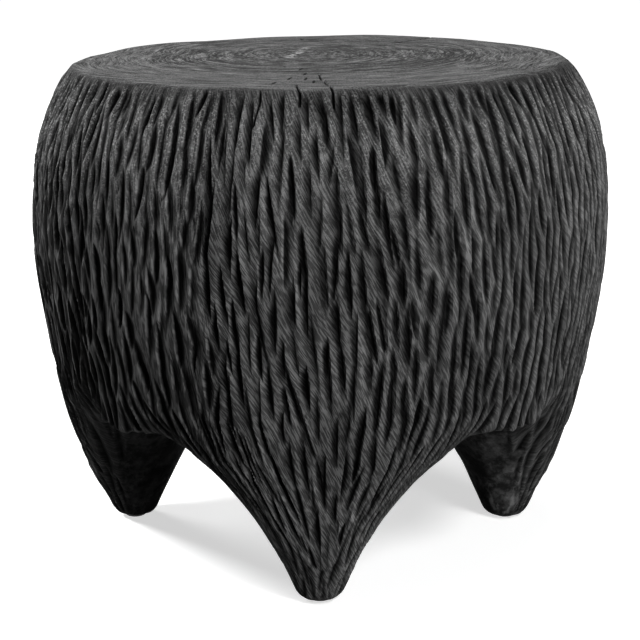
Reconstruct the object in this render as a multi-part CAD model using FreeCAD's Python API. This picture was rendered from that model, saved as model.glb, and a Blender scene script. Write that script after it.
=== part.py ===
import FreeCAD, Part
import math
import os
import random

# A stump stool carved from one log: a barrel with a level seat, gouged all round with long staggered strokes
# and cut underneath into four arches, so that it stands on four tapering legs. A nylon glide is nailed under
# each foot. Millimetres, +Z up, origin on the floor under the middle of the seat. The arches face +X, -X, +Y
# and -Y, and the legs stand on the diagonals between them.

# Barrel
seat_height = 405.0
rim_radius = 200.5
rim_ease = 4.0
rim_band = 7.0
belly_radius = 238.5
belly_height = 268.0
hem_radius = 181.0

# Run of the barrel's side between those sizes
hem_swell_share = 0.33
hem_rise_share = 0.019
belly_hold_share = 0.275
shoulder_hold_share = 0.235
shoulder_out_share = 0.98
shoulder_up_share = 0.683

# Gouge strokes: how many, how deep, and the height below which they draw together towards the feet
stroke_count = 84
stroke_row_count = 11
stroke_depth = 5.5
gather_height = 200.0

# Run of the strokes: drawn together and shallow at the feet, leaning to one side, straying from their places
gather_share = 0.80
foot_depth_share = 0.30
lean_share = 0.20
stray_share = 0.20
depth_stray_share = 0.30
stroke_seed = 7

# Legs and arches
leg_ring_radius = 165.5
crown_height = 138.0
flare_radius = 114.0
toe_radius = 20.0
toe_height = 10.0
foot_flat_radius = 12.0

# Run of a leg from its toe to the flat under the seat, and the flats that the adze leaves on it
toe_turn_share = 0.65
leg_rise_share = 0.80
leg_spread_share = 0.46
flare_hold_share = 0.08
leg_flat_count = 32
leg_ring_count = 6
toe_ring_count = 3

# Glides and their nails
glide_radius = 10.0
glide_thickness = 3.0
glide_bevel = 1.0
glide_skin = 1.0
nail_head_radius = 3.5
nail_head_thickness = 1.0
nail_shank_radius = 1.1
nail_reach = 17.0
nail_point_length = 3.0

overrun = 20.0

LEGS = {
    "front_left": (-1, -1),
    "front_right": (1, -1),
    "rear_left": (-1, 1),
    "rear_right": (1, 1),
}

LANES = 2 * stroke_count
QUARTER = math.pi / 2


def point(radius, height):
    return FreeCAD.Vector(radius, 0, height)


def at_angle(radius, angle, height):
    return FreeCAD.Vector(radius * math.cos(angle), radius * math.sin(angle), height)


def curve(*poles):
    bezier = Part.BezierCurve()
    bezier.setPoles(list(poles))
    return bezier.toShape()


def facet(corners):
    return Part.Face(Part.makePolygon(corners + corners[:1]))


def side_line():
    # The barrel's side from the hem over the belly to the rim, on a cut through the middle.
    swell = belly_radius - hem_radius
    shoulder = belly_radius - rim_radius
    rise = seat_height - belly_height
    belly = point(belly_radius, belly_height)
    lower = curve(
        point(hem_radius, 0),
        point(hem_radius + hem_swell_share * swell, hem_rise_share * belly_height),
        point(belly_radius, (1 - belly_hold_share) * belly_height),
        belly,
    )
    upper = curve(
        belly,
        point(belly_radius, belly_height + shoulder_hold_share * rise),
        point(rim_radius + shoulder_out_share * shoulder, belly_height + shoulder_up_share * rise),
        point(rim_radius, seat_height),
    )
    return lower, upper


def side_spot(line, distance):
    # The place that far up the barrel's side.
    lower, upper = line
    if distance <= lower.Length:
        return lower.valueAt(lower.getParameterByLength(distance))
    return upper.valueAt(upper.getParameterByLength(distance - lower.Length))


def gathered(angle, height):
    # Strokes stand upright on the barrel. Lower down they draw together towards the middle of their leg.
    leg = QUARTER * (math.floor(angle / QUARTER) + 0.5)
    off = angle - leg
    low = max(0, 1 - height / gather_height)
    return leg + off * (1 - gather_share * low * (1 - (2 * off / QUARTER) ** 2))


def round_log(spot, lane, sunk=0):
    # A place on the side of the log, on one of the lanes that the strokes follow.
    return at_angle(spot.x - sunk, gathered(2 * math.pi * lane / LANES, spot.z), spot.z)


def stroke_rings(line, top):
    # Rings of points up to the band. On each, every second point is the bottom of a stroke and the others lie
    # on the ridges. The next ring has them the other way round, which staggers the strokes like bricks.
    chance = random.Random(stroke_seed)
    step = top / stroke_row_count
    rings = []
    for row in range(stroke_row_count):
        ring = []
        for lane in range(LANES):
            aside = chance.uniform(-stray_share, stray_share)
            stray = chance.uniform(-stray_share, stray_share) if row else 0
            spot = side_spot(line, (row + stray) * step)
            if lane % 2 == row % 2:
                shallow = foot_depth_share + (1 - foot_depth_share) * min(1, spot.z / gather_height)
                sunk = stroke_depth * shallow * chance.uniform(1 - depth_stray_share, 1 + depth_stray_share)
                ring.append(round_log(spot, lane + aside + lean_share, sunk))
            else:
                ring.append(round_log(spot, lane + aside))
        rings.append(ring)
    return rings


def stroke_facets(rings):
    # Each stroke is a pointed hollow of four facets that meet at its bottom: between two rings, the edge from
    # corner to corner always joins two ridge points.
    facets = []
    for row, (low, high) in enumerate(zip(rings, rings[1:])):
        for lane in range(LANES):
            after = (lane + 1) % LANES
            corners = [low[lane], low[after], high[after], high[lane]]
            first = 1 if lane % 2 == row % 2 else 0
            corners = corners[first:] + corners[:first]
            facets.append(facet(corners[:3]))
            facets.append(facet(corners[2:] + corners[:1]))
    return facets


def plain_facets(rings):
    facets = []
    for low, high in zip(rings, rings[1:]):
        for lane in range(len(low)):
            after = (lane + 1) % len(low)
            facets.append(facet([low[lane], low[after], high[after], high[lane]]))
    return facets


def closed_solid(facets):
    skin = Part.makeCompound(facets)
    skin.sewShape()
    return Part.Solid(skin.Shells[0])


def barrel():
    line = side_line()
    length = sum(edge.Length for edge in line)
    stroke_end = length - rim_ease - rim_band
    band_spots = [
        side_spot(line, stroke_end),
        side_spot(line, length - rim_ease),
        point(rim_radius - rim_ease, seat_height),
    ]
    band = [[round_log(spot, lane) for lane in range(LANES)] for spot in band_spots]
    strokes = stroke_rings(line, stroke_end)
    ends = [facet(strokes[0]), facet(band[-1])]
    return closed_solid(stroke_facets(strokes + band[:1]) + plain_facets(band) + ends)


def trumpet():
    # A leg on the Z axis: flat foot, eased toe, then a flare that runs out level under the seat.
    foot = point(foot_flat_radius, glide_thickness)
    toe = point(toe_radius, toe_height)
    mouth = point(flare_radius, crown_height)
    rise = crown_height - toe_height
    spread = flare_radius - toe_radius
    turn = point(foot_flat_radius + toe_turn_share * (toe_radius - foot_flat_radius), glide_thickness)
    flare = curve(
        toe,
        point(toe_radius + leg_spread_share * spread, toe_height + leg_rise_share * rise),
        point(flare_radius - flare_hold_share * spread, crown_height),
        mouth,
    )
    ease = curve(foot, turn, toe)
    spots = ease.discretize(toe_ring_count)[:-1] + flare.discretize(leg_ring_count)
    angles = [2 * math.pi * flat / leg_flat_count for flat in range(leg_flat_count)]
    rings = [[at_angle(spot.x, angle, spot.z) for angle in angles] for spot in spots]
    return closed_solid(plain_facets(rings) + [facet(rings[0]), facet(rings[-1])])


def nail():
    # A driven nail on the Z axis, its head held in the glide.
    head = Part.makeCylinder(nail_head_radius, nail_head_thickness, point(0, glide_skin))
    shank_start = glide_skin + nail_head_thickness
    shank_length = glide_thickness + nail_reach - nail_point_length - shank_start
    shank = Part.makeCylinder(nail_shank_radius, shank_length, point(0, shank_start))
    tip = Part.makeCone(nail_shank_radius, 0, nail_point_length, point(0, shank_start + shank_length))
    return head.fuse([shank, tip]).removeSplitter()


def glide():
    disc = Part.makeCylinder(glide_radius, glide_thickness)
    worn_edges = [e for e in disc.Edges if e.BoundBox.ZMax < glide_bevel]
    return disc.makeChamfer(glide_bevel, worn_edges).cut(nail())


def foot_place(signs):
    across, along = signs
    return at_angle(leg_ring_radius, math.atan2(along, across), 0)


def carved_log():
    slab = Part.makeCylinder(belly_radius + overrun, crown_height + overrun, point(0, -overrun))
    leg = trumpet().cut(nail())
    waste = slab.cut([leg.translated(foot_place(signs)) for signs in LEGS.values()])
    return barrel().cut(waste)


def save(shape, name):
    shape.exportStep(os.path.join("parts", name + ".step"))


os.makedirs("parts", exist_ok=True)
save(carved_log(), "carved_log")
for corner, signs in LEGS.items():
    save(glide().translated(foot_place(signs)), "foot_glide_" + corner)
    save(nail().translated(foot_place(signs)), "glide_nail_" + corner)
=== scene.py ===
# %% [markdown]
# # A carved stump stool
# The stool is one black log. A gouge has covered its side with long strokes, its sawn end is the seat, and four
# arches cut from below leave four tapering legs. Each foot stands on a nailed nylon glide.
#
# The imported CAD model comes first. It is the frame: it says how large each piece is and where it stands, in metres,
# and the log that is carved below takes the place of its plain CAD solid.

# %% Load the frame
import math

import bpy
import numpy as np
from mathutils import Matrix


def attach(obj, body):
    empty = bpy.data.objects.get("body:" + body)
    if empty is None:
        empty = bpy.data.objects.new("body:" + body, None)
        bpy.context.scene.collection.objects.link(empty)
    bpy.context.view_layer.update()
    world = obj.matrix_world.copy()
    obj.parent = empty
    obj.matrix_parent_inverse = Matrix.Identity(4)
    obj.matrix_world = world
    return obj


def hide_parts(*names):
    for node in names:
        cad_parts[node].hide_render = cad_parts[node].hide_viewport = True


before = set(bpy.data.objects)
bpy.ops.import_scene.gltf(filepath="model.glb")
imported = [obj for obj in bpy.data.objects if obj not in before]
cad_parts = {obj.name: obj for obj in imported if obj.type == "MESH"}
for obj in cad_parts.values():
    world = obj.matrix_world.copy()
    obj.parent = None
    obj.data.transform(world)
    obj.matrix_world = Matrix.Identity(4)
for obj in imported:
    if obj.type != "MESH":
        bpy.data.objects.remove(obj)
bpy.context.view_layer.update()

# %% [markdown]
# ## The outline of the log
# Two half outlines give the whole form. One runs from the middle of the seat over the rim and down the barrel, the
# other runs from the flat of a foot up the inside of a leg to the vault under the seat. Short Bezier curves draw
# them, because four poles are easier to adjust against a photograph than a long table of radii. All the carving
# below is reckoned in millimetres, and only the finished mesh goes to metres.

# %% Outlines of the barrel and of a leg
SEAT_HEIGHT, RIM_RADIUS = 405.0, 200.5
BELLY_HEIGHT, BELLY_RADIUS = 268.0, 238.5
HEM_RADIUS = 181.0
CROWN_HEIGHT = 138.0
LEG_RING = 165.5
FOOT_FLAT = 3.0
TOE = (20.0, 10.0)


def bezier(poles, count):
    """Points along a Bezier curve of any degree."""
    share = np.linspace(0.0, 1.0, count)[:, None]
    points = [np.asarray(pole, float) + 0.0 * share for pole in poles]
    while len(points) > 1:
        points = [a + (b - a) * share for a, b in zip(points, points[1:])]
    return points[0]


belly = (BELLY_RADIUS, BELLY_HEIGHT)
lower_side = bezier([(HEM_RADIUS, 0), (199.8, 5), (BELLY_RADIUS, 194.3), belly], 400)
upper_side = bezier([belly, (BELLY_RADIUS, 300.2), (237.8, 361.6), (RIM_RADIUS, SEAT_HEIGHT)], 300)
barrel = np.vstack([lower_side[:-1], upper_side])
toe = bezier([(12, FOOT_FLAT), (17.4, FOOT_FLAT), TOE], 40)
shank = bezier([TOE, (66, 119), (108, CROWN_HEIGHT), (140, CROWN_HEIGHT)], 300)
leg_outline = np.vstack([toe[:-1], shank])
leg_angles = np.radians([-135.0, -45.0, 45.0, 135.0])
leg_centres = LEG_RING * np.column_stack([np.cos(leg_angles), np.sin(leg_angles)])


def barrel_radius(height):
    return np.interp(height, barrel[:, 1], barrel[:, 0])


def vault_height(x, y):
    """How high the underside of the log is over a point of the floor."""
    near = np.min([np.hypot(x - cx, y - cy) for cx, cy in leg_centres], axis=0)
    return np.interp(near, leg_outline[:, 0], leg_outline[:, 1])


print("belly radius", barrel[:, 0].max(), "at height", round(float(barrel[barrel[:, 0].argmax(), 1]), 1))

# %% [markdown]
# ## A skin of strips round the log
# Each strip of the skin starts in the middle of the seat, runs over the rim and down the side to the edge of an arch
# or to a foot, and then back under the vault to the middle. A lathe could turn the barrel, but not the arches, so
# every strip is worked out by itself. The sharp rim and arch edges are eased by averaging along the strip, which is
# what sandpaper does. Beside each leg the average is longer, because there the side runs on round the leg without an
# edge.

# %% One strip of the skin
STRIPS = 1500
SEAT_ROWS, SIDE_ROWS, LIP_ROWS, VAULT_ROWS = 64, 200, 60, 40
ROWS = SEAT_ROWS + SIDE_ROWS + LIP_ROWS + VAULT_ROWS + 1
HEM_ROW = SEAT_ROWS + SIDE_ROWS
LIP = 100.0
HEIGHT_STEPS, INWARD_STEPS = 1600, 700
EDGE_EASE, LEG_EASE = 3, 38
SOFT_AT_DEGREES, SOFT_SHARES = (3.0, 8.0, 32.0, 42.0), (0.0, 1.0, 1.0, 0.0)
SOFT_REACH = 45.0

side_heights = np.linspace(SEAT_HEIGHT, 0.0, HEIGHT_STEPS)
side_radii = barrel_radius(side_heights)


def eased(values, width):
    """A running average that keeps both ends."""
    padded = np.pad(values, width, mode="edge")
    kernel = np.ones(2 * width + 1) / (2 * width + 1)
    return np.convolve(padded, kernel, mode="valid")


def strip_path(angle):
    """Radii, heights and runs along one strip, and the run at which its side ends."""
    under_side = vault_height(side_radii * np.cos(angle), side_radii * np.sin(angle))
    last = int(np.argmax(side_heights <= under_side))
    inward = np.linspace(side_radii[last], 0.0, INWARD_STEPS)
    vault = vault_height(inward * np.cos(angle), inward * np.sin(angle))
    path_r = np.concatenate([[0.0], side_radii[: last + 1], inward[1:]])
    path_z = np.concatenate([[SEAT_HEIGHT], side_heights[: last + 1], vault[1:]])
    length = np.concatenate([[0.0], np.cumsum(np.hypot(np.diff(path_r), np.diff(path_z)))])
    hem = length[last + 1]
    even_run = np.linspace(0.0, length[-1], int(length[-1]) + 1)
    off_degrees = math.degrees(np.abs(np.angle(np.exp(1j * (angle - leg_angles)))).min())
    soft = np.interp(off_degrees, SOFT_AT_DEGREES, SOFT_SHARES)
    soft = soft * np.exp(-(((even_run - hem) / SOFT_REACH) ** 2))
    even_r, even_z = (
        eased(path, EDGE_EASE) * (1.0 - soft) + eased(path, LEG_EASE) * soft
        for path in (np.interp(even_run, length, path_r), np.interp(even_run, length, path_z))
    )
    even_r[0] = even_r[-1] = 0.0
    stops = np.concatenate([
        np.linspace(0.0, RIM_RADIUS, SEAT_ROWS, endpoint=False),
        np.linspace(RIM_RADIUS, hem, SIDE_ROWS, endpoint=False),
        np.linspace(hem, hem + LIP, LIP_ROWS, endpoint=False),
        np.linspace(hem + LIP, length[-1], VAULT_ROWS + 1),
    ])
    return np.interp(stops, even_run, even_r), np.interp(stops, even_run, even_z), stops, hem


print("rows of a strip", ROWS)

# %% Lay out all the strips
turn = np.linspace(-np.pi, np.pi, STRIPS, endpoint=False) + 0.75 * np.pi
radius, height, run = (np.zeros((ROWS, STRIPS)) for _ in range(3))
hem_run = np.zeros(STRIPS)
for strip, strip_turn in enumerate(turn):
    radius[:, strip], height[:, strip], run[:, strip], hem_run[strip] = strip_path(strip_turn)
form = np.stack([radius * np.cos(turn), radius * np.sin(turn), height], axis=-1)
print("strips", STRIPS, "longest side", round(float(hem_run.max() - RIM_RADIUS), 1), "mm")

# %% [markdown]
# ## Which way the gouge runs
# High on the barrel the strokes are upright. Below the belly they draw together and follow the arch edges down to
# the feet. A stroke keeps to one line of "flow": an angle round the log that is stretched, low down, by how much
# narrower the leg is there than its quarter of the barrel. How far down the line a point is goes by its height, so
# the strokes run on round a leg without a break.

# %% Flow lines for the strokes
QUARTER = math.radians(45.0)
NARROW_AT_HEIGHTS = (0.0, 10.0, 40.0, 70.0, 100.0, 130.0, 165.0, 210.0)
NARROW_DEGREES = (5.0, 7.0, 12.5, 19.0, 27.0, 36.0, 42.5, 45.0)
LEAST_SPREAD = 0.2

nearest_leg = np.argmin(np.abs(np.angle(np.exp(1j * (turn[:, None] - leg_angles[None, :])))), axis=1)
off_leg = np.angle(np.exp(1j * (turn - leg_angles[nearest_leg])))
quarter_width = np.radians(np.interp(height, NARROW_AT_HEIGHTS, NARROW_DEGREES))
stretch = (QUARTER / quarter_width - 1.0) * (1.0 - np.clip(off_leg / QUARTER, -1, 1) ** 2)
flow = leg_angles[nearest_leg] + off_leg * (1.0 + stretch)
spread = np.gradient(np.unwrap(flow, axis=1), axis=1) / (2 * np.pi / STRIPS)
across_mm = radius / np.maximum(spread, LEAST_SPREAD)
side_steps = np.hypot(np.diff(side_radii), np.diff(side_heights))
side_runs = RIM_RADIUS + np.concatenate([[0.0], np.cumsum(side_steps)])
down = np.interp(-height, -side_heights, side_runs)
print("flow stretch at the feet", round(float(stretch[SEAT_ROWS:HEM_ROW].max()), 2))

# %% [markdown]
# ## Where the gouge has been
# The whole side is carved, and so are the outer halves of the legs. A narrow band under the rim, the insides of the
# legs and the vault are plain. Each point of the skin gets a share from 0 to 1 that says how much of the carving it
# takes, with a ragged edge, because a carver doesn't stop on a line.

# %% Soft steps and random swells


def fade(values, start, end):
    """A soft step from 0 at the start to 1 at the end."""
    share = np.clip((values - start) / (end - start), 0.0, 1.0)
    return share * share * (3.0 - 2.0 * share)


def waves(points, shortest, longest, count, seed):
    """A smooth random swell from about -1 to 1: plane waves in many directions."""
    draw = np.random.default_rng(seed)
    total = np.zeros(points.shape[:-1])
    for _ in range(count):
        direction = draw.normal(size=3)
        direction /= np.linalg.norm(direction)
        wavelength = draw.uniform(shortest, longest)
        total += np.sin(points @ direction * (2 * np.pi / wavelength) + draw.uniform(0, 2 * np.pi))
    return total / math.sqrt(count)


ragged = waves(form, shortest=9.0, longest=40.0, count=14, seed=3)
print("ragged from", round(float(ragged.min()), 2), "to", round(float(ragged.max()), 2))

# %% Shares of carved, plain and seat
RIM_BAND = 15.0
LEG_LIMIT_AT_HEIGHTS, LEG_LIMITS = (5.0, 60.0, 110.0, 140.0), (0.4, 0.0, -0.25, -0.35)
LEG_REACH = (90.0, 115.0)
RUN_ON = 28.0
RUN_ON_AT_DEGREES, RUN_ON_SHARES = (3.0, 8.0, 30.0, 40.0), (0.0, 1.0, 1.0, 0.0)
HEM_BAND = 10.0
RIM_RAG, HEM_RAG, LEG_RAG = 3.0, 2.0, 0.15
LEG_EDGE, SEAT_EDGE = (-0.1, 0.15), (-3.0, 4.0)

past_rim = run - RIM_RADIUS
past_hem = run - hem_run[None, :]
leg_x, leg_y = leg_centres[nearest_leg].T
from_leg = np.hypot(form[..., 0] - leg_x, form[..., 1] - leg_y)
facing_out = (form[..., 0] - leg_x) * np.cos(leg_angles[nearest_leg])
facing_out += (form[..., 1] - leg_y) * np.sin(leg_angles[nearest_leg])
facing_out /= np.maximum(from_leg, 1.0)
leg_limit = np.interp(height, LEG_LIMIT_AT_HEIGHTS, LEG_LIMITS)
outer_leg = fade(facing_out + LEG_RAG * ragged - leg_limit, *LEG_EDGE) * (1.0 - fade(from_leg, *LEG_REACH))
outer_leg *= fade(height, FOOT_FLAT + 0.5, FOOT_FLAT + 5.0)
run_on = RUN_ON * np.interp(np.degrees(np.abs(off_leg)), RUN_ON_AT_DEGREES, RUN_ON_SHARES)
before_hem = 1.0 - fade(past_hem + HEM_RAG * ragged, 1.0 - run_on, HEM_BAND + run_on)
carved = fade(past_rim + RIM_RAG * ragged, 0.0, RIM_BAND) * before_hem
leg_carved = np.maximum(outer_leg - before_hem, 0.0)
under_share = fade(past_hem, 0.0, HEM_BAND) * (1.0 - outer_leg)
seat_share = 1.0 - fade(past_rim, *SEAT_EDGE)
print("carved share of the skin", round(float((carved > 0.5).mean()), 2))

# %% [markdown]
# ## How the gouge was held
# To the left of the front leg the photograph shows the strokes as if cut from the other side: their steep wall changes
# over. Between such stretches they are more even, with thinner ridges, as from a gouge held flatter. Both are shares
# for each strip. The far side can't be seen, so there they repeat after half a turn.

# %% Hand and hold for each strip
# All in degrees from the front leg. The half turn that repeats starts a little to one side of it.
REPEAT_FROM = -16.0
LEFT_START, LEFT_END = (66.0, 82.0), (156.0, 164.0)
BLUNT_AT_DEGREES = (12.0, 40.0, 72.0, 86.0, 98.0, 112.0, 125.0, 155.0)
BLUNT_SHARES = (0.0, 1.0, 1.0, 0.2, 0.2, 1.0, 1.0, 0.0)

off_front = np.degrees((turn - leg_angles[1] - math.radians(REPEAT_FROM)) % np.pi) + REPEAT_FROM
left_handed = fade(off_front, *LEFT_START) * (1.0 - fade(off_front, *LEFT_END))
blunt = np.interp(off_front, BLUNT_AT_DEGREES, BLUNT_SHARES)
print("left-handed share", round(float(left_handed.mean()), 2), "blunt share", round(float(blunt.mean()), 2))

# %% [markdown]
# ## Gouge strokes
# A gouge held on its corner leaves a trough that is pointed at both ends, where the tool enters and leaves the wood.
# One wall is a broad, nearly flat slope, the other is steep and stays dark. Where two troughs meet they leave a
# sharp ridge. So each stroke is a small hollow, and the carved surface is the lowest of all the hollows over a
# point. The strokes are scattered so that none lies too close to another, which staggers them. A few deeper cells
# lie between, and on the shoulder of the left-handed stretches short chops break the ridges.

# %% Scatter the strokes
rng = np.random.default_rng(41)
LEAST_CARVED = 0.4
CLOSE_AT_HEIGHTS, CLOSE_SHARES = (10.0, 120.0), (0.68, 1.0)
BLUNT_CLOSER = 0.22


def half_turn(angles):
    """Angles brought to between minus and plus half a turn."""
    return (angles + np.pi) % (2 * np.pi) - np.pi


def scatter(gap, step, tries):
    """Places for strokes, at least gap apart across the flow and step apart along it."""
    rows = rng.integers(SEAT_ROWS, HEM_ROW + LIP_ROWS, tries)
    strips = rng.integers(0, STRIPS, tries)
    keep = carved[rows, strips] > LEAST_CARVED
    rows, strips = rows[keep], strips[keep]
    close = np.interp(height[rows, strips], CLOSE_AT_HEIGHTS, CLOSE_SHARES) * (1.0 - BLUNT_CLOSER * blunt[strips])
    flows, runs = flow[rows, strips], down[rows, strips]
    widths = across_mm[rows, strips] / (gap * close)
    steps = 1.0 / (step * close)
    chosen = []
    spots = np.zeros((len(rows), 2))
    for index in range(len(rows)):
        held = spots[: len(chosen)]
        du = half_turn(held[:, 0] - flows[index])
        dv = (held[:, 1] - runs[index]) * steps[index]
        if np.any((du * widths[index]) ** 2 + dv * dv < 1.0):
            continue
        spots[len(chosen)] = flows[index], runs[index]
        chosen.append(index)
    return rows[chosen], strips[chosen]


strokes = scatter(gap=9.0, step=29.0, tries=36000)
cells = scatter(gap=22.0, step=60.0, tries=9000)
print("strokes", len(strokes[0]), "cells", len(cells[0]))

# %% How one round of strokes is cut
SLOPE_CURVE, WALL_CURVE = 1.3, 1.6
LEAN_AT_DEGREES, LEAN_DEGREES = (-45.0, -20.0, 0.0, 45.0), (-1.0, 0.5, -4.0, -4.0)
SHALLOW_AT_HEIGHTS, SHALLOW_SHARES = (6.0, 60.0, 130.0), (0.38, 0.75, 1.0)
SHORT_AT_HEIGHTS, SHORT_SHARES = (8.0, 120.0), (0.55, 1.0)
# Low down the strips fan out, so a stroke's patch of the net has to be larger there.
PATCH_AT_HEIGHTS, PATCH_ROWS, PATCH_DEGREES = (110.0, 170.0), (60.0, 16.0), (15.0, 7.0)
LEAST_ROW_STEP = 0.8
HAND_STRAY = 0.3
BLUNT_DEEPER, BLUNT_NARROWER, BLUNT_WALL = 0.1, 0.3, 1.8
LEFT_SHORTER = 0.15


def gouge(surface, places, depths, lengths, slopes, walls, slant_degrees):
    """Lowers the surface to the troughs of one round of strokes."""
    for row, strip in zip(*places):
        low = height[row, strip]
        shallow = np.interp(low, SHALLOW_AT_HEIGHTS, SHALLOW_SHARES)
        depth = rng.uniform(*depths) * shallow * (1.0 + BLUNT_DEEPER * blunt[strip])
        length = rng.uniform(*lengths) * np.interp(low, SHORT_AT_HEIGHTS, SHORT_SHARES)
        length = length * (1.0 - LEFT_SHORTER * left_handed[strip])
        slope_width = rng.uniform(*slopes) * shallow ** 0.5 * (1.0 - BLUNT_NARROWER * blunt[strip])
        wall_width = rng.uniform(*walls) * shallow ** 0.5 * (1.0 + BLUNT_WALL * blunt[strip])
        lean = np.interp(math.degrees(off_leg[strip]), LEAN_AT_DEGREES, LEAN_DEGREES)
        slant = math.tan(math.radians(rng.normal(lean, slant_degrees)))
        row_step = max((hem_run[strip] - RIM_RADIUS) / SIDE_ROWS, LEAST_ROW_STEP)
        half = int(0.5 * length / row_step + np.interp(low, PATCH_AT_HEIGHTS, PATCH_ROWS))
        rows = np.arange(max(row - half, SEAT_ROWS - 4), min(row + half, HEM_ROW + LIP_ROWS + 8))
        reach = int(STRIPS * np.interp(low, PATCH_AT_HEIGHTS, PATCH_DEGREES) / 360.0)
        patch = np.ix_(rows, np.arange(strip - reach, strip + reach + 1) % STRIPS)
        # v runs along the stroke and u across it, both in millimetres.
        v = down[patch] - down[row, strip]
        u = half_turn(flow[patch] - flow[row, strip]) * across_mm[patch] + slant * v
        if left_handed[strip] + rng.normal(0.0, HAND_STRAY) > 0.5:
            u = -u
        climb = np.where(u > 0, np.abs(u / wall_width) ** WALL_CURVE, np.abs(u / slope_width) ** SLOPE_CURVE)
        trough = -depth * (1.0 - (2.0 * v / length) ** 2 - climb)
        stroke_tint[patch] = np.where(trough < surface[patch], rng.uniform(), stroke_tint[patch])
        surface[patch] = np.minimum(surface[patch], trough)


print("a stroke's slope and wall rise with powers", SLOPE_CURVE, WALL_CURVE)

# %% Cut the strokes, the cells and the chops
CHOP_HEIGHT = 285.0
carve = np.zeros((ROWS, STRIPS))
stroke_tint = np.full((ROWS, STRIPS), 0.5)
gouge(
    carve, strokes, depths=(2.0, 4.6), lengths=(44.0, 84.0), slopes=(7.0, 11.5), walls=(0.9, 1.8), slant_degrees=4.2
)
gouge(
    carve, cells, depths=(4.0, 5.6), lengths=(36.0, 60.0), slopes=(3.5, 6.0), walls=(1.6, 2.8), slant_degrees=4.2
)
chops = scatter(gap=13.0, step=15.0, tries=7000)
shoulder = (left_handed[chops[1]] > 0.5) & (height[chops] > CHOP_HEIGHT)
chops = chops[0][shoulder], chops[1][shoulder]
gouge(
    carve, chops, depths=(1.5, 2.5), lengths=(14.0, 30.0), slopes=(4.0, 7.0), walls=(1.2, 2.4), slant_degrees=12.0
)
print("chops", len(chops[0]), "deepest stroke", round(float(-carve.min()), 2), "mm")

# %% [markdown]
# ## Strokes down the legs
# Round the outer half of each leg the carver turned the gouge along the leg, so there the strokes run down to the
# foot and draw together with it. They lie in lanes round the leg, with the strokes of one lane between those of the
# next.

# %% Cut the strokes of the legs
LANE_DEGREES, LANES = 12.0, 10
LANE_STARTS, LANE_STAGGER = (-4.0, 34.0, 72.0, 110.0), 19.0
START_STRAY, LANE_STRAY, SKEW_DEGREES = 8.0, 4.0, 5.0
LEG_WIDTHS, LEG_DEPTHS, LEG_LENGTHS = (3.6, 5.6), (2.0, 3.2), (48.0, 76.0)

leg_turn = np.arctan2(form[..., 1] - leg_y, form[..., 0] - leg_x) - leg_angles[nearest_leg]
leg_turn = np.angle(np.exp(1j * leg_turn))
leg_carve = np.zeros((ROWS, STRIPS))
leg_rows = np.arange(HEM_ROW - 30, ROWS)
for leg_index in range(len(leg_angles)):
    patch = np.ix_(leg_rows, np.flatnonzero(nearest_leg == leg_index))
    for lane in range(-LANES, LANES + 1):
        for start in LANE_STARTS:
            middle = start + LANE_STAGGER * (lane % 2) + rng.uniform(-START_STRAY, START_STRAY)
            aside = math.radians(lane * LANE_DEGREES + rng.uniform(-LANE_STRAY, LANE_STRAY))
            skew = math.tan(math.radians(rng.normal(0.0, SKEW_DEGREES)))
            v = height[patch] - middle
            u = (leg_turn[patch] - aside) * from_leg[patch] + skew * v
            climb = np.abs(u / rng.uniform(*LEG_WIDTHS))
            trough = -rng.uniform(*LEG_DEPTHS) * (1.0 - (2.0 * v / rng.uniform(*LEG_LENGTHS)) ** 2 - climb)
            fresh = (trough < leg_carve[patch]) & (past_hem[patch] > 0.0)
            stroke_tint[patch] = np.where(fresh, rng.uniform(), stroke_tint[patch])
            leg_carve[patch] = np.minimum(leg_carve[patch], trough)
print("deepest stroke on a leg", round(float(-leg_carve.min()), 2), "mm")

# %% [markdown]
# ## Scoops under the seat, cracks in the top
# The vault under the seat can't be seen in the photograph. Here it is pared with a broad tool, which leaves wide,
# shallow scoops. The seat has a few drying cracks that run in from the rim: those at the front are where the
# photograph has them, the others are made up. The carved skin is lifted a little all over, so that its ridges stand
# out from the log's outline and the log stays about as stout as the solid one.

# %% Pare the vault
SCOOPS = 300
SCOOP_DEPTHS, SCOOP_RADII = (0.7, 1.6), (70.0, 150.0)
STROKE_LIFT, LEG_LIFT, SCOOP_LIFT = 1.4, 1.2, 0.8
SWELL = 0.6
LEVEL_SEAT = (4.0, 20.0)

relief = (carve + STROKE_LIFT) * carved + (leg_carve + LEG_LIFT) * leg_carved
scoops = np.zeros((ROWS, STRIPS))
under_rows = np.arange(HEM_ROW - 4, ROWS)
under_form = form[under_rows]
for _ in range(SCOOPS):
    middle = under_form[rng.integers(0, len(under_rows)), rng.integers(0, STRIPS)]
    square_gap = np.sum((under_form - middle) ** 2, axis=-1)
    bowl = -rng.uniform(*SCOOP_DEPTHS) + square_gap / (2.0 * rng.uniform(*SCOOP_RADII))
    scoops[under_rows] = np.minimum(scoops[under_rows], bowl)
relief += (scoops + SCOOP_LIFT) * under_share
swell = SWELL * waves(form, shortest=60.0, longest=160.0, count=20, seed=5)
relief += swell * (1.0 - fade(RIM_RADIUS - run, *LEVEL_SEAT))
print("scoops", SCOOPS, "deepest", round(float(-scoops.min()), 2), "mm")

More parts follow.
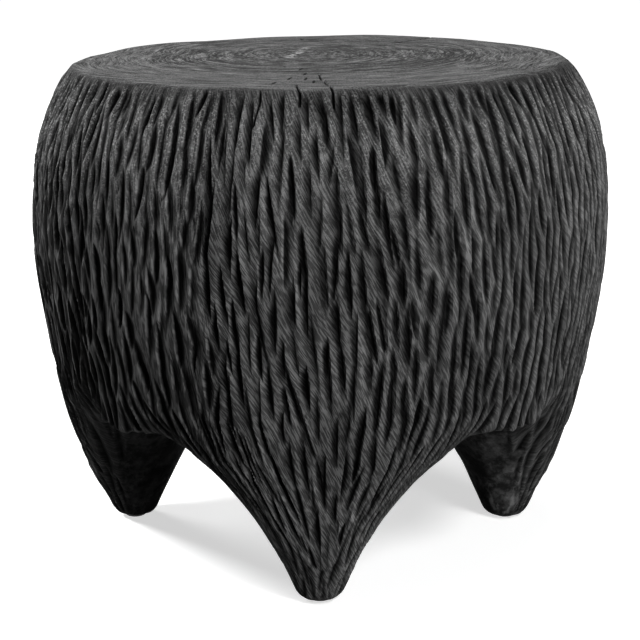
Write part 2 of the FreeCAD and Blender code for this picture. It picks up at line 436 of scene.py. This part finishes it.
# %% Open the cracks
FRONT_DEGREES = -45.0
CRACKS = [
    # Runs out from the middle of the seat, degrees from the front leg at each, half width and depth.
    ((196, 214, 232), (-12.0, -11.8, -12.2), 1.3, 4.0),
    ((170, 186, 204, 216), (-5.6, -5.0, -4.0, -3.8), 1.2, 3.5),
    ((112, 150, 184, 204, 218), (-0.6, 0.9, 2.2, 2.7, 2.7), 1.3, 4.5),
    ((158, 184, 212), (63.0, 61.5, 61.0), 1.1, 3.0),
    ((140, 176, 214), (150.0, 148.0, 148.5), 1.2, 3.5),
    ((166, 190, 210), (-98.0, -97.0, -97.5), 1.1, 3.0),
]
INNER_TAPER, OUTER_TAPER = 14.0, 4.0
CRACK_RAG = 0.5

for crack_runs, degrees, half_width, depth in CRACKS:
    line = np.radians(np.interp(run, crack_runs, degrees) + FRONT_DEGREES)
    sideways = np.maximum(radius, 1.0) * half_turn(turn - line) + CRACK_RAG * ragged
    first, last = crack_runs[0], crack_runs[-1]
    ends = fade(run, first, first + INNER_TAPER) * (1.0 - fade(run, last - OUTER_TAPER, last))
    relief -= depth * ends * np.clip(1.0 - np.abs(sideways) / half_width, 0.0, 1.0)
print("relief from", round(float(relief.min()), 2), "to", round(float(relief.max()), 2), "mm")

# %% [markdown]
# ## From numbers to a mesh
# A grid primitive already has the right net of faces: one row of points for each row above, one column for each
# strip. Its points are moved to their places on the log, the open seam and the two ends are closed by merging, and
# the faces are turned outwards. That net is far finer than the flat places need, so Decimate thins it there and
# keeps the ridges. The whole top is a trace out of level, as the photograph suggests.

# %% Raise the relief from the outline
TILT = math.radians(0.7)
TILT_FROM = 250.0
BELLY_ROW = SEAT_ROWS + 60

along_strip = np.gradient(form, axis=0)
round_log = np.roll(form, -1, axis=1) - np.roll(form, 1, axis=1)
outward = np.cross(along_strip, round_log)
outward /= np.maximum(np.linalg.norm(outward, axis=-1, keepdims=True), 1e-9)
outward[0] = (0.0, 0.0, 1.0)
outward[-1] = (0.0, 0.0, -1.0)
if outward[BELLY_ROW, 0, :2] @ form[BELLY_ROW, 0, :2] < 0:
    outward[1:-1] *= -1.0
skin = form + outward * relief[..., None]
skin[0] = skin[0].mean(axis=0)
skin[-1] = skin[-1].mean(axis=0)
rise = math.tan(TILT) * (skin[..., 0] + skin[..., 1]) * math.sqrt(0.5)
skin[..., 2] += rise * fade(skin[..., 2], TILT_FROM, SEAT_HEIGHT)
print("skin up to", round(float(skin[..., 2].max()), 1), "mm")

# %% Build the log
MM = 0.001

bpy.ops.object.select_all(action="DESELECT")
bpy.ops.mesh.primitive_grid_add(x_subdivisions=STRIPS, y_subdivisions=ROWS - 1, size=1.0)
log = bpy.context.active_object
log.name = "stump_log"
net = np.empty(len(log.data.vertices) * 3)
log.data.vertices.foreach_get("co", net)
net = net.reshape(-1, 3)
net_strip = np.rint((net[:, 0] + 0.5) * STRIPS).astype(int) % STRIPS
net_row = np.rint((net[:, 1] + 0.5) * (ROWS - 1)).astype(int)
log.data.vertices.foreach_set("co", (skin[net_row, net_strip] * MM).ravel())
print("net points", len(net))

# %% [markdown]
# ## Marks for the finish
# The finish needs to know what each point of the log is: how deep in a stroke, seat or vault, which stroke, which
# hand. Each of these goes onto the mesh as a named attribute, because the thinned mesh keeps attributes, and a
# material can read them.

# %% Store the marks, close and thin the log
HOLLOW_ROWS, HOLLOW_STRIPS, HOLLOW_DEPTH = 4, 6, 1.8
MERGE_METRES = 0.00002
KEPT_FACES = 0.18
SMOOTH_DEGREES = 38.0


def box_blur(values, rows, strips):
    """The average over a box of the net."""
    tall = np.zeros_like(values)
    for shift in range(-rows, rows + 1):
        tall += np.roll(values, shift, axis=0)
    wide = np.zeros_like(values)
    for shift in range(-strips, strips + 1):
        wide += np.roll(tall, shift, axis=1)
    return wide / ((2 * rows + 1) * (2 * strips + 1))


marks = {
    "hollow": np.clip((box_blur(relief, HOLLOW_ROWS, HOLLOW_STRIPS) - relief) / HOLLOW_DEPTH, -1.0, 1.0),
    "seat": seat_share,
    "under": under_share,
    "tint": stroke_tint,
    "hand": np.tile(left_handed, (ROWS, 1)),
    "even": np.tile(blunt, (ROWS, 1)),
}
for name, values in marks.items():
    layer = log.data.attributes.new(name, "FLOAT", "POINT")
    layer.data.foreach_set("value", values[net_row, net_strip].astype(np.float32))

bpy.ops.object.mode_set(mode="EDIT")
bpy.ops.mesh.select_all(action="SELECT")
bpy.ops.mesh.remove_doubles(threshold=MERGE_METRES)
bpy.ops.mesh.normals_make_consistent(inside=False)
bpy.ops.object.mode_set(mode="OBJECT")
thin = log.modifiers.new("thin", "DECIMATE")
thin.ratio = KEPT_FACES
bpy.ops.object.modifier_apply(modifier=thin.name)
bpy.ops.object.shade_smooth_by_angle(angle=math.radians(SMOOTH_DEGREES))
log.data.calc_loop_triangles()
print("log faces", len(log.data.polygons), "triangles", len(log.data.loop_triangles))

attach(log, "root")
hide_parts("carved_log")

# %% [markdown]
# ## Shader maths as plain Python
# A material is a net of nodes. A small class that wraps one output lets the net be written as sums, and a second one
# holds the net of a material, or of the world, and adds any other node.

# %% Sums on node outputs


class Value:
    """One output of a net of nodes, which can be added, taken away and multiplied."""

    def __init__(self, finish, socket):
        self.finish = finish
        self.socket = socket

    def maths(self, operation, first, second):
        return self.finish.node("ShaderNodeMath", {"operation": operation}, {0: first, 1: second})

    def __add__(self, other):
        return self.maths("ADD", self, other)

    def __radd__(self, other):
        return self.maths("ADD", other, self)

    def __sub__(self, other):
        return self.maths("SUBTRACT", self, other)

    def __rsub__(self, other):
        return self.maths("SUBTRACT", other, self)

    def __mul__(self, other):
        return self.maths("MULTIPLY", self, other)

    def __rmul__(self, other):
        return self.maths("MULTIPLY", other, self)

    def at_least(self, least):
        return self.maths("MAXIMUM", self, least)


print("sums on node outputs are ready")

# %% One way to add a node
STRAIGHT_RAYS = ("Is Camera Ray", "Is Glossy Ray", "Is Transmission Ray")


class Finish:
    """The net of a material or of the world, and the one way to add a node to it."""

    def __init__(self, owner):
        owner.use_nodes = True
        self.owner = owner
        self.tree = owner.node_tree
        # A new material starts with the first of each pair, the world with the second.
        nodes = self.tree.nodes
        self.shader = nodes.get("Principled BSDF") or nodes["Background"]
        self.output = nodes.get("Material Output") or nodes["World Output"]

    def node(self, kind, settings=None, inputs=None, output=0):
        made = self.tree.nodes.new(kind)
        for key, setting in (settings or {}).items():
            setattr(made, key, setting)
        for key, given in (inputs or {}).items():
            self.feed(made.inputs[key], given)
        return Value(self, made.outputs[output])

    def feed(self, socket, given):
        if isinstance(given, Value):
            self.tree.links.new(given.socket, socket)
        else:
            socket.default_value = given

    def set(self, **inputs):
        for key, given in inputs.items():
            self.feed(self.shader.inputs[key.replace("_", " ")], given)

    def attribute(self, name):
        return self.node("ShaderNodeAttribute", {"attribute_name": name}, output="Fac")

    def place(self):
        return self.node("ShaderNodeTexCoord", output="Object")

    def part(self, vector, axis):
        return self.node("ShaderNodeSeparateXYZ", None, {0: vector}, axis)

    def vector(self, x, y, z):
        return self.node("ShaderNodeCombineXYZ", None, {0: x, 1: y, 2: z})

    def turn_of(self, x, y):
        return self.node("ShaderNodeMath", {"operation": "ARCTAN2"}, {0: y, 1: x})

    def grey(self, tone):
        return self.node("ShaderNodeCombineColor", None, {0: tone, 1: tone, 2: tone})

    def noise(self, vector, scale, detail=3.0, rough=0.55):
        return self.node(
            "ShaderNodeTexNoise",
            {"noise_dimensions": "3D"},
            {"Vector": vector, "Scale": scale, "Detail": detail, "Roughness": rough},
        )

    def span(self, value, low, high, start=0.0, end=1.0):
        """Spreads a stretch of one value over another, with soft ends."""
        return self.node(
            "ShaderNodeMapRange",
            {"interpolation_type": "SMOOTHSTEP"},
            {"Value": value, "From Min": low, "From Max": high, "To Min": start, "To Max": end},
        )

    def bump(self, tall, strength, distance):
        return self.node("ShaderNodeBump", None, {"Height": tall, "Strength": strength, "Distance": distance})

    def show(self, look):
        """Shows a look to the camera, in gloss and through glass. The light thrown back is still the shader's own."""
        seen, glossy, clear = (self.node("ShaderNodeLightPath", output=name) for name in STRAIGHT_RAYS)
        own = Value(self, self.shader.outputs[0])
        shown = self.node("ShaderNodeMixShader", None, {0: seen + glossy + clear, 1: own, 2: look})
        self.feed(self.output.inputs["Surface"], shown)


print("rays that see the white ground", STRAIGHT_RAYS)

# %% [markdown]
# ## Black wood
# The log is stained black all over, but the three faces of it look different. One material holds all three, and the
# marks that were stored on the mesh blend them.
#
# The gouged side has torn fibres that run slantwise over the strokes, upright on the left-handed stretches, and pale
# specks near the rim where the ridges have worn. The fibres are noise on a net of angle and height, sheared so that
# they slant. The bottoms of the strokes are painted nearly black as shade, and their crests are painted lighter as
# highlight.

# %% The gouged side
FIBRE_BLACK, FIBRE_TONE, WORN_TONE = 0.040, 0.072, 0.13
LEAST_SIDE_TONE = 0.012

wood = Finish(bpy.data.materials.new("black_gouged_wood"))
spot = wood.place()
px, py, pz = (wood.part(spot, axis) for axis in (0, 1, 2))
hollow, seat, under, tint, hand, even = (wood.attribute(name) for name in marks)

log_turn = wood.turn_of(px, py)
drift = wood.noise(spot, 9.0, 1.0, 0.4)
slanted = log_turn * 0.22 + pz * 0.50 + (drift - 0.5) * 0.02
upright = log_turn * 0.22 + pz * 0.08 + (drift - 0.5) * 0.03
leaning_fibre = wood.noise(wood.vector(slanted, pz * 0.13, 0.3), 760.0, 2.0, 0.5)
upright_fibre = wood.noise(wood.vector(upright, pz * 0.10, 0.3), 700.0, 2.0, 0.6)
fibre = leaning_fibre + (upright_fibre - leaning_fibre) * hand
coarse = wood.noise(wood.vector(slanted, pz * 0.10, 0.7), 260.0, 2.0, 0.5)
speck = wood.noise(spot, 600.0, 2.0, 0.7)
cloud = wood.noise(spot, 14.0, 3.0, 0.5)
raised = wood.span(hollow, 0.1, -0.45)
sunk = wood.span(hollow, 0.05, 0.70)
lines = wood.span(fibre, 0.44, 0.59)
near_rim = wood.span(pz, 0.27, 0.40)
worn = wood.span(speck, 0.50, 0.66) * near_rim * (0.3 + raised * 0.6 + hand * 0.3)

side_tone = FIBRE_BLACK + even * 0.014 + lines * (FIBRE_TONE - even * 0.03) + (coarse - 0.5) * 0.05
side_tone = side_tone * (0.6 + tint * 0.7) + worn * WORN_TONE + (cloud - 0.5) * 0.05
side_tone = side_tone.at_least(LEAST_SIDE_TONE)
# Painted highlight and shade: crests are painted lighter and stroke bottoms darker, down to nearly black.
broad_ridge_light_and_shade = wood.span(hollow, 0.4, -0.4, 0.45, 1.35)
thin_ridge_light_and_shade = wood.span(hollow, 0.10, -0.50, 0.50, 1.65)
side_tone = side_tone * (broad_ridge_light_and_shade + (thin_ridge_light_and_shade - broad_ridge_light_and_shade) * even) * (1.0 - sunk * 0.8)
rim_shade, foot_wear = wood.span(pz, 0.375, 0.4, 1.0, 0.62), wood.span(pz, 0.13, 0.04, 1.0, 1.5)
left_shade = 1.0 - hand * wood.span(pz, 0.30, 0.15) * 0.42
side_tone = side_tone * rim_shade * foot_wear * left_shade
side_tall = lines * (0.8 - even * 0.4) + coarse * 0.5 + speck * 0.8 * near_rim
print("nodes for the side", len(wood.tree.nodes))

# %% [markdown]
# ## End grain of the seat
# The seat is end grain: rings that waver about an off-centre heart, drawn as short streaks along the rings, with
# open pores. Noise on a net of ring and angle gives this better than a wave texture, whose rings are too regular.

# %% The seat
SEAT_TONE, HEART_SHADE = 0.088, 0.028
HEART_X, HEART_Y, HEART_OVAL = -0.028, 0.014, 1.06
LEAST_SEAT_TONE = 0.02

waver = wood.noise(spot, 7.0, 3.0, 0.55)
ripple = wood.noise(spot, 34.0, 2.0, 0.5)
rx, ry = px - HEART_X, (py - HEART_Y) * HEART_OVAL
ring_run = wood.node("ShaderNodeMath", {"operation": "SQRT"}, {0: rx * rx + ry * ry})
ring_run = ring_run + (waver - 0.5) * 0.045 + (ripple - 0.5) * 0.006
ring_turn = wood.turn_of(rx, ry)
bands = wood.noise(wood.vector(ring_run, ring_turn * 0.006, 0.5), 85.0, 3.0, 0.65)
fine_rings = wood.noise(wood.vector(ring_run, ring_turn * 0.010, 0.2), 460.0, 3.0, 0.75)
streak = wood.noise(wood.vector(ring_run, ring_turn * 0.014, 0.8), 200.0, 3.0, 0.7)
pores = wood.noise(spot, 480.0, 2.0, 0.6)
grain = wood.noise(spot, 1000.0, 2.0, 0.6)
heart = wood.span(ring_run, 0.162, 0.138)
pitted = wood.span(pores, 0.59, 0.67) * (0.4 + heart * 0.6)
seat_tone = SEAT_TONE - heart * HEART_SHADE + (bands - 0.5) * (0.07 + heart * 0.17) + (fine_rings - 0.5) * 0.56
seat_tone = seat_tone + (streak - 0.5) * (0.10 + heart * 0.36) + (grain - 0.5) * 0.40 - pitted * 0.08
seat_tall = fine_rings * 0.9 + streak * 0.5 + pores * 0.5 + grain * 0.3
print("nodes with the seat", len(wood.tree.nodes))

# %% [markdown]
# ## Scuff and pits
# Use has left a pale scuff across the heart, and a few pores have opened into short pits that point to the middle.
# The pits have no depth in the mesh: each is painted shade, a spot darkened almost to black. The scuff, the pits at
# the front and one at the back are about where the photograph has them, and the other three pits are made up.

# %% The scuff and the pits
SCUFF_FROM, SCUFF_RUN, SCUFF_TONE = (-0.021, -0.020), (-0.055, 0.086), 0.24
SCUFF_HALF_WIDTH_SQUARED = 0.00004
PITS = [
    # Metres from the middle of the seat, degrees from the front leg.
    (0.168, -11.4), (0.140, -9.2), (0.112, -5.8), (0.142, -4.2), (0.160, -1.6), (0.080, -10.6), (0.165, 186.0),
    (0.142, 150.0), (0.150, 74.0), (0.118, -120.0),
]
PIT_FLOOR, PIT_BRIM = 0.0000006, 0.000002
PIT_SQUEEZE = 0.14

scuff_length = math.hypot(*SCUFF_RUN)
along_x, along_y = SCUFF_RUN[0] / scuff_length, SCUFF_RUN[1] / scuff_length
scuff_x, scuff_y = px - SCUFF_FROM[0], py - SCUFF_FROM[1]
scuff_along = scuff_x * along_x + scuff_y * along_y
scuff_aside = scuff_x * along_y - scuff_y * along_x + (ripple - 0.5) * 0.02
scuff = wood.span(scuff_aside * scuff_aside, SCUFF_HALF_WIDTH_SQUARED, 0.0) * wood.span(streak, 0.46, 0.6)
scuff = scuff * wood.span(scuff_along, 0.0, 0.01) * wood.span(scuff_along, scuff_length, scuff_length - 0.02)
# Painted shade: the cracks and other hollows of the seat are painted darker.
seat_tone = (seat_tone + scuff * SCUFF_TONE).at_least(LEAST_SEAT_TONE) * (1.0 - sunk * 0.9)
# Painted shade: each pit is a spot painted almost black, with no depth in the mesh.
for pit_run, pit_degrees in PITS:
    pit_turn = math.radians(pit_degrees + FRONT_DEGREES)
    pit_out = (px * math.cos(pit_turn) + py * math.sin(pit_turn) - pit_run) * PIT_SQUEEZE
    pit_aside = py * math.cos(pit_turn) - px * math.sin(pit_turn)
    pit_gap = pit_out * pit_out + pit_aside * pit_aside
    seat_tone = seat_tone * wood.span(pit_gap, PIT_FLOOR, PIT_BRIM, 0.05, 1.0)
print("pits", len(PITS))

# %% [markdown]
# ## The vault, and the blend
# Under the vault the wood is taken to be plainer: dull and blotchy, with upright scrapes that are palest near the
# floor. Then the three faces are blended. The gloss is set almost to nothing, and that is a choice for this studio:
# with the white ground all round, even a dull sheen lies over the black seat as a grey haze. Under other light the
# real wood would show a little more sheen than this.

# %% The vault, and the three faces blended
VAULT_TONE = 0.020
WOOD_GLOSS = 0.004
BUMP_STRENGTH, BUMP_METRES = 0.5, 0.0008

blotch = wood.noise(spot, 60.0, 5.0, 0.68)
scrape = wood.noise(wood.vector(px, py, pz * 0.35), 120.0, 3.0, 0.65)
near_floor = wood.span(pz, 0.07, 0.01)
under_tone = VAULT_TONE + wood.span(blotch, 0.38, 0.72) * 0.12
under_tone = under_tone + wood.span(scrape, 0.50, 0.70) * (0.04 + near_floor * 0.08)
under_tall = blotch * 0.7 + speck * 0.3


def blend(side_value, seat_value, under_value):
    plain = side_value + (under_value - side_value) * under
    return plain + (seat_value - plain) * seat


wood.set(
    Specular_IOR_Level=WOOD_GLOSS,
    Base_Color=wood.grey(blend(side_tone, seat_tone, under_tone)),
    Roughness=blend(0.58 - lines * 0.08 + sunk * 0.2, 0.55 + pores * 0.12, 0.65 + blotch * 0.1),
    Normal=wood.bump(blend(side_tall, seat_tall, under_tall), BUMP_STRENGTH, BUMP_METRES),
)
log.data.materials.append(wood.owner)
print("nodes of the wood", len(wood.tree.nodes))

# %% [markdown]
# ## Glides and nails
# The glides and nails are hidden in the photograph, so they follow usual practice. The glides are moulded nylon with a
# dull, faintly pebbled skin, scuffed on the base. The nails are plain drawn steel. Both keep their CAD shapes.

# %% Materials of the glides and nails
LEGS = ("front_left", "front_right", "rear_left", "rear_right")

nylon = Finish(bpy.data.materials.new("black_nylon"))
nylon_spot = nylon.place()
pebble = nylon.noise(nylon_spot, 1500.0, 2.0)
rubbed = nylon.noise(nylon_spot, 260.0, 4.0, 0.7)
nylon.set(
    Base_Color=nylon.grey(0.03 + nylon.span(rubbed, 0.55, 0.75) * 0.04),
    Roughness=0.45 + rubbed * 0.25,
    Normal=nylon.bump(pebble, 0.3, 0.0002),
)
steel = Finish(bpy.data.materials.new("drawn_steel"))
drawn = steel.noise(steel.place(), 800.0, 3.0)
steel.set(Base_Color=steel.grey(0.45 + drawn * 0.15), Metallic=1.0, Roughness=0.3 + drawn * 0.2)
for leg in LEGS:
    for node, finish in (("foot_glide_" + leg, nylon), ("glide_nail_" + leg, steel)):
        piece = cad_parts[node]
        piece.data.materials.clear()
        piece.data.materials.append(finish.owner)
print("materials", [m.name for m in bpy.data.materials])

# %% [markdown]
# ## Studio
# The photograph has a white ground and soft light. The floor and the world show white to the camera, in gloss and
# through glass, but throw little light back, because the underside of the real stool stays dark. The floor keeps the
# stool's shadow, and pales to pure white away from it.

# %% Floor
FLOOR_SIZE = 24.0
FLOOR_GREY, SEEN_GREY = (0.06, 0.06, 0.06, 1.0), (0.8, 0.8, 0.8, 1.0)
GLOW_NEAR, GLOW_FAR, NEAR_GLOW = 0.25, 1.1, 0.62

bpy.ops.object.select_all(action="DESELECT")
bpy.ops.mesh.primitive_plane_add(size=FLOOR_SIZE, location=(0.0, 0.0, 0.0))
floor = bpy.context.active_object
floor.name = "studio_floor"
paper = Finish(bpy.data.materials.new("studio_paper"))
paper.set(Base_Color=FLOOR_GREY, Roughness=1.0, Specular_IOR_Level=0.0)
shaded = paper.node("ShaderNodeBsdfDiffuse", None, {"Color": SEEN_GREY})
away = paper.node("ShaderNodeVectorMath", {"operation": "LENGTH"}, {0: paper.place()}, "Value")
whiter = paper.span(away, GLOW_NEAR, GLOW_FAR, NEAR_GLOW, 1.0)
glow = paper.node("ShaderNodeEmission", None, {"Color": paper.grey(whiter)})
paper.show(paper.node("ShaderNodeAddShader", None, {0: shaded, 1: glow}))
floor.data.materials.append(paper.owner)
print("floor", FLOOR_SIZE, "m wide")

# %% World
WHITE = (1.0, 1.0, 1.0, 1.0)
SKY_STRENGTH = 0.012

sky = Finish(bpy.data.worlds.new("studio"))
bpy.context.scene.world = sky.owner
sky.set(Color=WHITE, Strength=SKY_STRENGTH)
sky.show(sky.node("ShaderNodeBackground", None, {"Color": WHITE}))
print("sky strength", SKY_STRENGTH)

# %% [markdown]
# ## Lamps
# Five soft boxes light the stool: a wide one overhead, a stronger one high on the right, one high on the left and a
# little behind, which picks out that edge, one behind for the far side, and a weak one low on the right for the feet.

# %% Lamps
VIEW_TURN = math.radians(45.0)
LAMPS = [
    # Name, place as the photographer sees it, aim, width in metres and power in watts.
    ("overhead_box", (0.1, 0.35, 2.3), (0.0, 0.0, 0.3), 1.1, 9.0),
    ("right_box", (1.0, 1.7, 2.0), (0.0, 0.0, 0.25), 0.6, 40.0),
    ("left_box", (-1.9, -0.45, 1.75), (0.0, 0.0, 0.3), 0.5, 62.0),
    ("rear_box", (-1.3, -1.7, 1.3), (0.0, 0.0, 0.2), 0.8, 24.0),
    ("low_box", (1.4, 1.6, 0.3), (0.1, 0.0, 0.06), 0.5, 15.0),
]


def from_view(right, near, up):
    """A place given as the photographer sees it: to the right, towards the camera and up, in metres."""
    cosine, sine = math.cos(VIEW_TURN), math.sin(VIEW_TURN)
    return (right * cosine + near * sine, right * sine - near * cosine, up)


def soft_box(name, place, aim, size, power):
    bpy.ops.object.light_add(type="AREA", location=place)
    lamp = bpy.context.active_object
    lamp.name = name
    lamp.data.shape = "DISK"
    lamp.data.size = size
    lamp.data.energy = power
    x, y, z = (a - b for a, b in zip(place, aim))
    lamp.rotation_euler = (math.atan2(math.hypot(x, y), z), 0.0, math.atan2(y, x) + math.pi / 2)


for name, place, aim, size, power in LAMPS:
    soft_box(name, from_view(*place), aim, size, power)
print("lamps", [lamp[0] for lamp in LAMPS])

# %% [markdown]
# ## Camera
# The lens and the place come from the photograph: the seat's ellipse gives the pitch, the feet give the distance.

# %% Camera
VIEW_PITCH = math.radians(16.01)
VIEW_REACH, VIEW_HEIGHT = 1.244, 0.5372
SENSOR_MM = 36.0
FOCAL_PIXELS, IMAGE_PIXELS = 1494.0, 640.0

bpy.ops.object.camera_add()
camera = bpy.context.active_object
camera.location = from_view(0.0, VIEW_REACH, VIEW_HEIGHT)
camera.rotation_euler = (math.pi / 2 - VIEW_PITCH, 0.0, VIEW_TURN)
camera.data.sensor_width = SENSOR_MM
camera.data.lens = SENSOR_MM * FOCAL_PIXELS / IMAGE_PIXELS
bpy.context.scene.camera = camera
bpy.context.scene.view_settings.view_transform = "Standard"
print("camera at", [round(v, 3) for v in camera.location])
